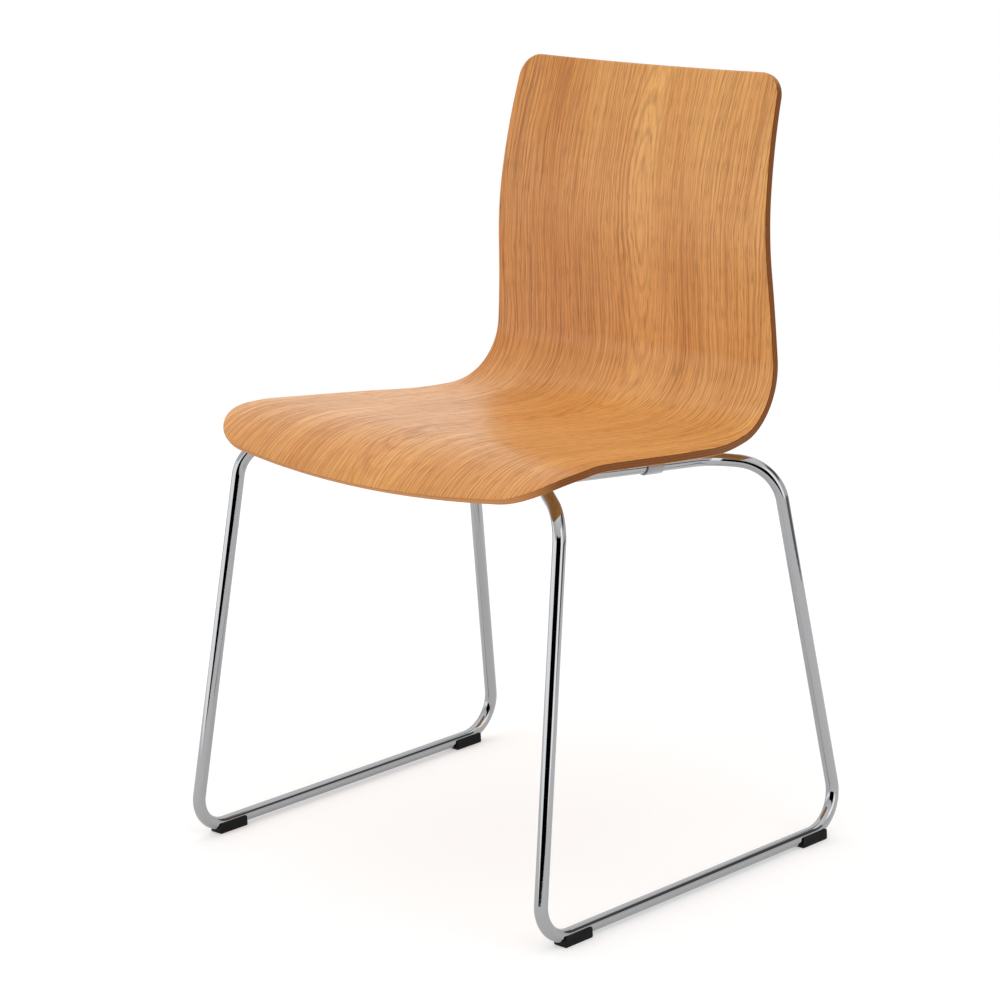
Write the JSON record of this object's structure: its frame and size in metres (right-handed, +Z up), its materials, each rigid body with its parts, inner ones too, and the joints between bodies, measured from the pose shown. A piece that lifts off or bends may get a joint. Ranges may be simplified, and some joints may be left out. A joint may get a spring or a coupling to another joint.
{
  "type": "stacking chair",
  "caption": "Stacking chair: bent oak plywood seat-and-back shell on a chromed tube sled base with black floor glides.",
  "frame": {"origin": "on the floor, under the middle of the chair's box", "axes": "+Z up, +Y from the seat's front edge towards the back, +X towards the sitter's left, which the picture shows nearer. Parts named right are on the +X side, as someone facing the chair's front sees it."},
  "size_m": [0.5434, 0.488, 0.804],
  "materials": {
    "oak_plywood": "satin lacquered oak veneer",
    "chrome_tube": "bright chrome plate",
    "zinc_steel": "zinc plate",
    "black_plastic": "moulded satin",
    "grey_plastic": "translucent moulded",
    "black_rubber": "matte"
  },
  "bodies": {
    "root": {"seat_shell": "oak_plywood", "frame_loop_left": "chrome_tube", "frame_loop_right": "chrome_tube", "seam_spigot_left": "zinc_steel", "seam_spigot_right": "zinc_steel", "crossbar_front": "chrome_tube", "crossbar_rear": "chrome_tube", "spacer_front_left": "black_rubber", "spacer_front_right": "black_rubber", "spacer_rear_left": "black_rubber", "spacer_rear_right": "black_rubber", "washer_front_left": "zinc_steel", "washer_front_right": "zinc_steel", "washer_rear_left": "zinc_steel", "washer_rear_right": "zinc_steel", "screw_front_left": "zinc_steel", "screw_front_right": "zinc_steel", "screw_rear_left": "zinc_steel", "screw_rear_right": "zinc_steel", "insert_front_left": "zinc_steel", "insert_front_right": "zinc_steel", "insert_rear_left": "zinc_steel", "insert_rear_right": "zinc_steel", "glide_front_left": "black_plastic", "glide_front_right": "black_plastic", "glide_rear_left": "black_plastic", "glide_rear_right": "black_plastic", "stacking_buffer_left": "grey_plastic", "stacking_buffer_right": "grey_plastic"}
  },
  "joints": []
}
